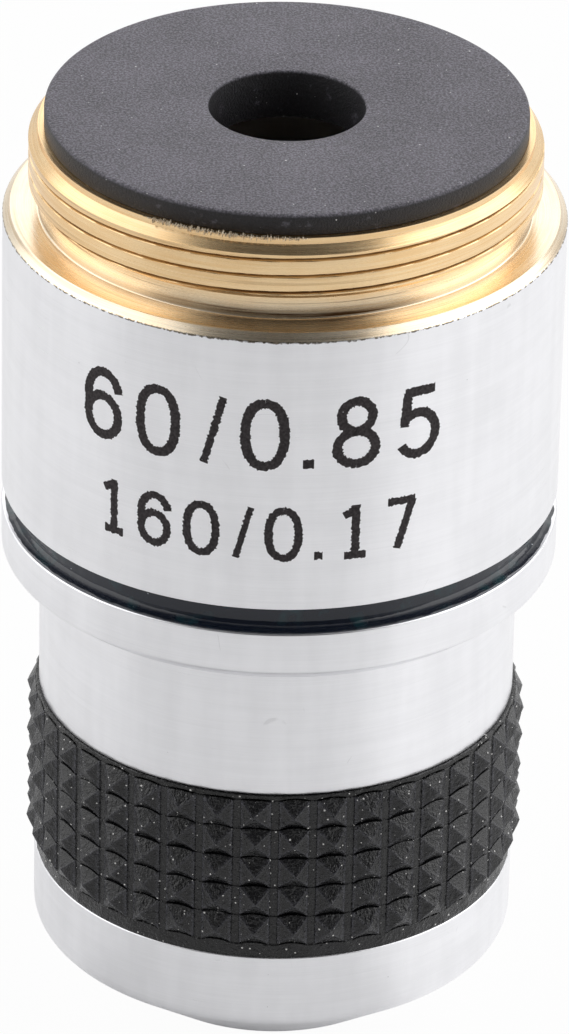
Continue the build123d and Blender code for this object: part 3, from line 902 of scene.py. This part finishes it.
class OBJECTIVE_OT_grip_ring(bpy.types.Operator):
    """Builds the rubber grip with its pyramids, each a little out of true."""

    bl_idname = "objective.grip_ring"
    bl_label = "Grip ring"

    cells = 8  # across a pyramid, even, so that its corners and its tip fall on grid points
    ledge = 0.03 * MM  # round a pyramid's base
    foot = 0.06 * MM  # under the lowest row
    plinth = 0.05 * MM  # that a pyramid stands on
    tip_start = 0.93  # share of the height where the worn tip begins
    tip_slope = 0.3
    lean = 0.042 * MM  # of the tips, at random
    crease_depth = 0.09 * MM
    crease_bow = 0.10 * MM

    def across_cell(self, gap, ledge):
        """Places over one cell, from the middle of a gap to the next, with -1 to 1 over the base.

        The third row is 1 on the base and 0 on the gap's floor, which ends a ledge's width from the base.
        """
        base = np.linspace(-1, 1, self.cells + 1)
        places = np.concatenate([[0, gap / 2 - ledge], 0.5 + base * (1 - gap) / 2, [1 - gap / 2 + ledge]])
        raised = np.concatenate([[0, 0], np.ones(len(base)), [0]])
        return places, np.concatenate([[-1, -1], base, [1]]), raised

    def execute(self, context):
        size = context.scene.objective_grip
        row_pitch = (GRIP_TOP - GRIP_BOTTOM - size.top_rim - size.bottom_rim) / size.rows
        column_pitch = 2 * pi / size.columns
        base_pitch = size.valley_radius * column_pitch
        column_gap = size.column_valley / base_pitch
        column_places, u, column_base = self.across_cell(column_gap, self.ledge / base_pitch)
        row_places, v, row_base = self.across_cell(size.row_valley / row_pitch, self.ledge / row_pitch)
        azimuths = (np.arange(size.columns)[:, None] + column_places[None, :]).ravel() * column_pitch
        azimuths += size.turn
        u = np.tile(u, size.columns)
        column_base = np.tile(column_base, size.columns)
        heights = (np.arange(size.rows)[:, None] + row_places[None, :]).ravel() * row_pitch
        lowest = [-size.bottom_rim, -self.foot]
        highest = [size.rows * row_pitch + self.ledge, GRIP_TOP - GRIP_BOTTOM - size.bottom_rim]
        heights = np.concatenate([lowest, heights, highest]) + GRIP_BOTTOM + size.bottom_rim
        v = np.concatenate([[-1, -1], np.tile(v, size.rows), [1, 1]])
        row_base = np.concatenate([[0, 0], np.tile(row_base, size.rows), [0, 0]])
        crease = np.concatenate([[0, 0], np.tile(1 - row_base[2 : 2 + len(row_places)], size.rows), [0, 0]])
        # Height over the flats: pyramid height * (1 - the larger of |u| and |v|), with the tip worn round
        slope = 1 - np.maximum(np.abs(u)[None, :], np.abs(v)[:, None])
        blunt = np.minimum(slope, self.tip_start + (slope - self.tip_start) * self.tip_slope)
        raised = row_base[:, None] * column_base[None, :]
        rise = (size.pyramid_height - self.plinth) * blunt + self.plinth * raised
        # The flats are sides of a polygon: radius / cos of the angle from the side's middle
        from_middle = (azimuths - size.turn + column_pitch / 2) % column_pitch - column_pitch / 2
        from_middle = np.abs(from_middle) - column_pitch / 2
        flats = size.valley_radius / np.cos(from_middle)
        wobble = np.random.default_rng(5)
        lean = wobble.normal(0, self.lean, (size.rows + 1, size.columns + 1, 3))
        row_index = ((heights - GRIP_BOTTOM - size.bottom_rim) / row_pitch).astype(int)
        row_index = np.clip(row_index, 0, size.rows - 1)[:, None]
        column_index = ((azimuths - size.turn) / column_pitch + 1e-6).astype(int)[None, :] % size.columns
        shift = lean[row_index, column_index]
        high = slope[:, :, None] * shift
        sway = 0.02 * MM * np.sin(3 * azimuths + 1.0)[None, :] + 0.015 * MM * np.sin(7 * azimuths)[None, :]
        groove = self.crease_depth * crease[:, None] * (0.35 + 0.65 * (1 - u**4))[None, :]
        radii = flats[None, :] + rise + high[:, :, 0] * 0.6 - groove
        all_azimuths = azimuths[None, :] + (high[:, :, 1] + sway * 0.5) / size.valley_radius
        free = np.clip(np.minimum(heights - GRIP_BOTTOM, GRIP_TOP - heights) / (0.3 * MM), 0, 1)[:, None]
        # The creases between rows bow up in the middle of each pyramid
        bow = self.crease_bow * np.clip((np.abs(v) - 0.55) / 0.45, 0, 1)[:, None] * (1 - u**2)[None, :]
        bow *= wobble.uniform(0.4, 1.3, (size.rows + 1, size.columns + 1))[row_index, column_index]
        all_heights = heights[:, None] + high[:, :, 2] + (sway + bow) * free
        outer = np.stack([radii * np.cos(all_azimuths), radii * np.sin(all_azimuths), all_heights], axis=-1)
        seat = context.scene.objective_front.grip_seat
        inner = turned_points([seat, seat], [GRIP_TOP, GRIP_BOTTOM], azimuths)
        points = np.concatenate([outer, inner])
        quads = grid_faces(len(points), len(azimuths), True, True)
        # Each quad is cut along the diagonal that runs with the pyramid's own edge
        us = np.tile(u, len(points))[quads].mean(axis=1)
        vs = np.repeat(np.concatenate([v, [0, 0]]), len(azimuths))[quads].mean(axis=1)
        rising = us * vs > 0
        a, b, c, d = quads.T
        with_edge = np.concatenate([np.stack([a, b, c], axis=1)[rising], np.stack([a, c, d], axis=1)[rising]])
        against = np.concatenate([np.stack([a, b, d], axis=1)[~rising], np.stack([b, c, d], axis=1)[~rising]])
        faces = np.concatenate([with_edge, against])
        material = moulded_rubber(context.scene.objective_finishes)
        piece = piece_of("grip_ring_moulded", points, faces, material, "front_unit", sharp=radians(22))
        # Paler where the pyramid's ridges and the edges of its base are: part wear, part painted highlight
        ridge = 1 - np.clip(np.abs(np.abs(u)[None, :] - np.abs(v)[:, None]) / 0.25, 0, 1)
        edge = np.clip((np.abs(u)[None, :] - 0.9) / 0.1, 0, 1)
        edges = np.maximum(ridge * 0.6, edge) * raised
        give_values(piece, "edge_wear_and_glint", np.concatenate([edges, np.zeros((2, len(azimuths)))]))
        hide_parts("grip_ring")
        return {"FINISHED"}


def arc(centre_x, centre_y, half_width, half_height, start, end, squareness=1.0):
    """Points of an oval's arc, from start to end in degrees, counterclockwise when end is larger.

    The oval is cos(a) and sin(a), each with its sign kept and its size raised to the squareness.
    """
    angles = np.radians(np.linspace(start, end, 181))
    across = np.sign(np.cos(angles)) * np.abs(np.cos(angles)) ** squareness
    up = np.sign(np.sin(angles)) * np.abs(np.sin(angles)) ** squareness
    return np.stack([centre_x + half_width * across, centre_y + half_height * up], axis=1)


def line(start, end):
    return np.linspace(start, end, 33)


# Middle lines of the digits' strokes, in a cell 0.6 wide and 1 high
STROKES = {
    "0": [arc(0.30, 0.50, 0.28, 0.50, 90, 450, 0.88)],
    "1": [line((0.10, 0.85), (0.33, 0.97)), line((0.33, 1.06), (0.33, 0.0)), line((0.12, 0.0), (0.54, 0.0))],
    "5": [
        line((0.08, 1.0), (0.56, 1.0)),
        line((0.13, 1.0), (0.08, 0.46)),
        arc(0.29, 0.33, 0.29, 0.33, 140, -150),
    ],
    "6": [
        np.concatenate([arc(0.32, 0.63, 0.28, 0.37, 14, 180), line((0.04, 0.63), (0.04, 0.31))]),
        arc(0.31, 0.31, 0.27, 0.31, 90, 450),
    ],
    "7": [line((0.04, 1.0), (0.60, 1.0)), line((0.55, 1.0), (0.24, 0.0))],
    "8": [arc(0.30, 0.76, 0.225, 0.24, -90, 270), arc(0.30, 0.26, 0.28, 0.26, -90, 270)],
    "/": [line((0.16, -0.03), (0.44, 1.05))],
    ".": [line((0.22, 0.04), (0.38, 0.04))],
}
NARROW = {"/": 0.78}  # strokes cut narrower than the rest


class OBJECTIVE_OT_engraving(bpy.types.Operator):
    """Builds the two lines of plain numbers as paint-filled strokes on the shell."""

    bl_idname = "objective.engraving"
    bl_label = "Engraving"

    fill_depth = 0.05 * MM
    fill_rise = 0.004 * MM
    roughness_pitch = 0.05 * MM
    roughness = 0.020 * MM
    # Middles of the characters, along the shell from the front, in mm
    tall_places = (-7.45, -4.90, -2.60, -0.59, 1.11, 2.98, 5.54)
    small_places = (-6.89, -5.02, -3.04, -1.37, 0.20, 1.57, 2.96, 4.87)

    def stroke(self, path, width, seed):
        """A closed bar along a path on the unrolled shell: width across, and rough at both edges."""
        runs = np.linalg.norm(np.diff(path, axis=0), axis=1)
        along = np.concatenate([[0], np.cumsum(runs)])
        places = np.linspace(0, along[-1], max(3, round(along[-1] / self.roughness_pitch)))
        path = np.stack([np.interp(places, along, path[:, 0]), np.interp(places, along, path[:, 1])], axis=1)
        ahead = np.gradient(path, axis=0)
        ahead /= np.linalg.norm(ahead, axis=1)[:, None]
        across = np.stack([-ahead[:, 1], ahead[:, 0]], axis=1)
        draws = np.random.default_rng(seed)
        halves = width / 2 + draws.normal(0, self.roughness, (2, len(path), 1))
        left = path + across * halves[0]
        right = path - across * halves[1]
        ring = []
        for edge, radius in (
            (left, BODY_R - self.fill_depth),
            (left, BODY_R + self.fill_rise),
            (right, BODY_R + self.fill_rise),
            (right, BODY_R - self.fill_depth),
        ):
            azimuths = FRONT + edge[:, 0] / BODY_R
            ring.append(np.stack([radius * np.cos(azimuths), radius * np.sin(azimuths), edge[:, 1]], axis=1))
        return np.stack(ring, axis=1)

    def execute(self, context):
        size = context.scene.objective_engraving
        lines = [
            ("60/0.85", size.tall_base, size.tall_height, size.tall_stroke, self.tall_places),
            ("160/0.17", size.small_base, size.small_height, size.small_stroke, self.small_places),
        ]
        material = engraving_black()
        for number, (text, base, height, width, places) in enumerate(lines):
            points = []
            faces = []
            count = 0
            for index, (character, middle) in enumerate(zip(text, places)):
                for part, path in enumerate(STROKES[character]):
                    placed = (path - [0.30, 0.0]) * height + [middle * MM, base]
                    seed = 100 * number + 10 * index + part
                    bar = self.stroke(placed, width * NARROW.get(character, 1), seed)
                    quads = grid_faces(len(bar), 4, False, True)
                    start = np.array([[0, 3, 2, 1]])
                    end = np.array([[0, 1, 2, 3]]) + (len(bar) - 1) * 4
                    faces.append(np.concatenate([quads, start, end]) + count)
                    points.append(bar.reshape(-1, 3))
                    count += len(bar) * 4
            name = f"engraved_line_{number + 1}"
            piece = piece_of(name, np.concatenate(points), np.concatenate(faces), material, "housing")
        return {"FINISHED"}


class OBJECTIVE_OT_front_cell(bpy.types.Operator):
    """Builds the tip that holds the front lens."""

    bl_idname = "objective.front_cell"
    bl_label = "Front cell"

    tip_radius = 4.55 * MM
    flange = 1.0 * MM
    opening = 0.90 * MM
    lip = 0.03 * MM  # that holds the lens at the opening
    seat_radius = 1.17 * MM
    seat_depth = 0.38 * MM
    cone_radius = 3.0 * MM  # where the light's cone leaves the cell

    def execute(self, context):
        outline = rounded(
            [
                (self.opening, TIP_Z, 0.02 * MM),
                (self.tip_radius, TIP_Z, 0.15 * MM),
                (self.tip_radius, CELL_TOP - self.flange, 0),
                (CELL_R, CELL_TOP - self.flange, 0),
                (CELL_R, CELL_TOP, 0),
                (self.cone_radius, CELL_TOP, 0),
                (self.seat_radius, TIP_Z + self.seat_depth, 0),
                (self.seat_radius, TIP_Z + self.lip, 0),
                (self.opening, TIP_Z + self.lip, 0),
            ]
        )
        material = satin_chrome(context.scene.objective_finishes)
        piece = turned_piece("front_cell_turned", *outline, material, "front_unit")
        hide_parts("front_cell")
        return {"FINISHED"}


class OBJECTIVE_OT_inner_pieces(bpy.types.Operator):
    """Gives the pieces inside their finishes."""

    bl_idname = "objective.inner_pieces"
    bl_label = "Inner pieces"

    def execute(self, context):
        brass = turned_metal("inner_brass", context.scene.objective_finishes.brass, 0.25)
        steel = turned_metal("spring_steel", (0.55, 0.56, 0.58), 0.22)
        black_brass = blackened("blackened_brass", (0.030, 0.027, 0.025))
        anodised = blackened("black_anodising", (0.022, 0.022, 0.024))
        finish_of_slot = {
            "brass": brass,
            "spring_steel": steel,
            "cell_brass": black_brass,
            "black_aluminium": anodised,
            "lens_glass": coated_glass(),
        }
        for subpart in frame["record"]["subparts"]:
            finish = finish_of_slot.get(subpart["material_slot"])
            node = frame["nodes"][subpart["node"]]
            if finish:
                node.data.materials.clear()
                node.data.materials.append(finish)
        return {"FINISHED"}


class OBJECTIVE_OT_stage(bpy.types.Operator):
    """Sets the floor, the lamps, the room and the camera."""

    bl_idname = "objective.stage"
    bl_label = "Stage"

    def floor(self):
        half = 3.0
        mesh = bpy.data.meshes.new("floor")
        square = np.array([[-1, -1, 0], [1, -1, 0], [1, 1, 0], [-1, 1, 0]])
        mesh.from_pydata(square * half + [0, 0, TIP_Z], [], [[0, 1, 2, 3]])
        floor = bpy.data.objects.new("floor", mesh)
        bpy.context.scene.collection.objects.link(floor)
        recipe = new_recipe("floor_white")
        rays = recipe.node("ShaderNodeLightPath")
        camera = recipe.signal(rays, "Is Camera Ray")
        glossy = recipe.signal(rays, "Is Glossy Ray")
        through = recipe.signal(rays, "Is Transmission Ray")
        # In a mirror the floor is dimmest in front of the object, and brighter on the right than on the left
        _, x, y, _ = recipe.place()
        far = (x * x + y * y).root()
        in_front = ((y + x * 0.2) / far * -1.0).step(0.40, 0.82)
        mirrored = (0.50 + (x / far).step(-0.3, 0.5) * 0.45) * (1 - in_front * 0.80)
        own_light = (camera * 0.96 + glossy * mirrored + through * 0.5).least(1.0)
        matt = recipe.node("ShaderNodeBsdfDiffuse", inputs={"Color": (0.84, 0.84, 0.84, 1)})
        white = recipe.node("ShaderNodeEmission", inputs={"Color": (1, 1, 1, 1), "Strength": 1.0})
        inputs = {"Fac": own_light, 1: matt.outputs[0], 2: white.outputs[0]}
        both = recipe.node("ShaderNodeMixShader", inputs=inputs)
        recipe.node("ShaderNodeOutputMaterial", inputs={"Surface": both.outputs[0]})
        mesh.materials.append(recipe.owner)

    def lamp(self, name, place, width, height, power):
        """A soft box that faces the middle of the object."""
        data = bpy.data.lights.new(name, "AREA")
        data.shape = "RECTANGLE"
        data.size = width
        data.size_y = height
        data.energy = power
        lamp = bpy.data.objects.new(name, data)
        aim = np.array([0, 0, -15 * MM]) - np.array(place)
        ahead = aim / np.linalg.norm(aim)
        side = np.cross(ahead, [0, 0, 1])
        side /= np.linalg.norm(side)
        above = np.cross(side, ahead)
        axes = np.stack([side, above, -ahead, place], axis=1)
        lamp.matrix_world = Matrix(np.vstack([axes, [0, 0, 0, 1]]).tolist())
        bpy.context.scene.collection.objects.link(lamp)

    def room(self, size):
        """The world: pale at the sides and behind, dark in front and above, and white to the camera."""
        world = bpy.data.worlds.new("room")
        bpy.context.scene.world = world
        recipe = Recipe(world)
        camera = recipe.signal(recipe.node("ShaderNodeLightPath"), "Is Camera Ray")
        outward = recipe.node("ShaderNodeTexCoord").outputs["Generated"]
        split = recipe.node("ShaderNodeSeparateXYZ", inputs={"Vector": outward})
        sideways = abs(recipe.signal(split, "X"))
        backwards = recipe.signal(split, "Y")
        upwards = recipe.signal(split, "Z")
        pale = sideways.step(0.35, 0.95).most(backwards.step(0.0, 0.7)) * (1 - upwards.step(0.35, 0.9) * 0.7)
        level = pale * (size.side_level - size.front_level) + size.front_level
        strength = camera * (1 - level) + level
        light = recipe.node("ShaderNodeBackground", inputs={"Color": (1, 1, 1, 1), "Strength": strength})
        recipe.node("ShaderNodeOutputWorld", inputs={"Surface": light.outputs[0]})

    def camera(self, size):
        """Looks along +Y and down, with its up axis turned by the roll."""
        ahead = np.array([0, cos(size.elevation), -sin(size.elevation)])
        side = np.array([1.0, 0, 0])
        above = np.cross(side, ahead)
        place = np.array([size.aim_side, 0, size.aim_height]) - ahead * size.distance
        turned_side = cos(size.roll) * side + sin(size.roll) * above
        turned_above = cos(size.roll) * above - sin(size.roll) * side
        axes = np.stack([turned_side, turned_above, -ahead, place], axis=1)
        data = bpy.data.cameras.new("camera")
        data.sensor_fit = "VERTICAL"
        data.sensor_height = 36
        data.lens = data.sensor_height * size.focal_share
        data.clip_start = 0.01
        camera = bpy.data.objects.new("camera", data)
        camera.matrix_world = Matrix(np.vstack([axes, [0, 0, 0, 1]]).tolist())
        bpy.context.scene.collection.objects.link(camera)
        bpy.context.scene.camera = camera

    def execute(self, context):
        size = context.scene.objective_stage
        self.floor()
        self.lamp("lamp_left", (-0.32, 0.02, 0.20), 0.45, 0.45, size.left_power)
        self.lamp("lamp_right", (0.32, 0.02, 0.20), 0.45, 0.45, size.right_power)
        self.lamp("lamp_back", (0.0, 0.40, 0.23), 0.60, 0.32, size.back_power)
        self.room(size)
        self.camera(size)
        context.scene.view_settings.view_transform = "Standard"
        return {"FINISHED"}


class OBJECTIVE_PT_panel(bpy.types.Panel):
    """Lists the sizes and the builders in the sidebar."""

    bl_idname = "OBJECTIVE_PT_panel"
    bl_label = "Microscope objective"
    bl_space_type = "VIEW_3D"
    bl_region_type = "UI"
    bl_category = "Objective"

    def draw(self, context):
        for attribute, group in PROPERTY_GROUPS.items():
            box = self.layout.box()
            box.label(text=group.__doc__)
            for name in group.__annotations__:
                box.prop(getattr(context.scene, attribute), name)
        for operator in OPERATORS:
            self.layout.operator(operator.bl_idname)


PROPERTY_GROUPS = {
    "objective_housing": HousingSizes,
    "objective_front": FrontSizes,
    "objective_grip": GripSizes,
    "objective_engraving": EngravingSizes,
    "objective_finishes": Finishes,
    "objective_stage": StageSettings,
}
OPERATORS = [
    OBJECTIVE_OT_housing,
    OBJECTIVE_OT_end_collar,
    OBJECTIVE_OT_colour_band,
    OBJECTIVE_OT_rear_cap,
    OBJECTIVE_OT_edge_crumbs,
    OBJECTIVE_OT_front_sleeve,
    OBJECTIVE_OT_grip_ring,
    OBJECTIVE_OT_engraving,
    OBJECTIVE_OT_front_cell,
    OBJECTIVE_OT_inner_pieces,
    OBJECTIVE_OT_stage,
]
CLASSES = [*PROPERTY_GROUPS.values(), *OPERATORS, OBJECTIVE_PT_panel]


def register():
    for made in CLASSES:
        bpy.utils.register_class(made)
    for attribute, group in PROPERTY_GROUPS.items():
        setattr(bpy.types.Scene, attribute, PointerProperty(type=group))


def unregister():
    for attribute in PROPERTY_GROUPS:
        delattr(bpy.types.Scene, attribute)
    for made in reversed(CLASSES):
        bpy.utils.unregister_class(made)


def main():
    register()
    for operator in OPERATORS:
        group, name = operator.bl_idname.split(".")
        getattr(getattr(bpy.ops, group), name)()


if __name__ == "__main__":
    main()
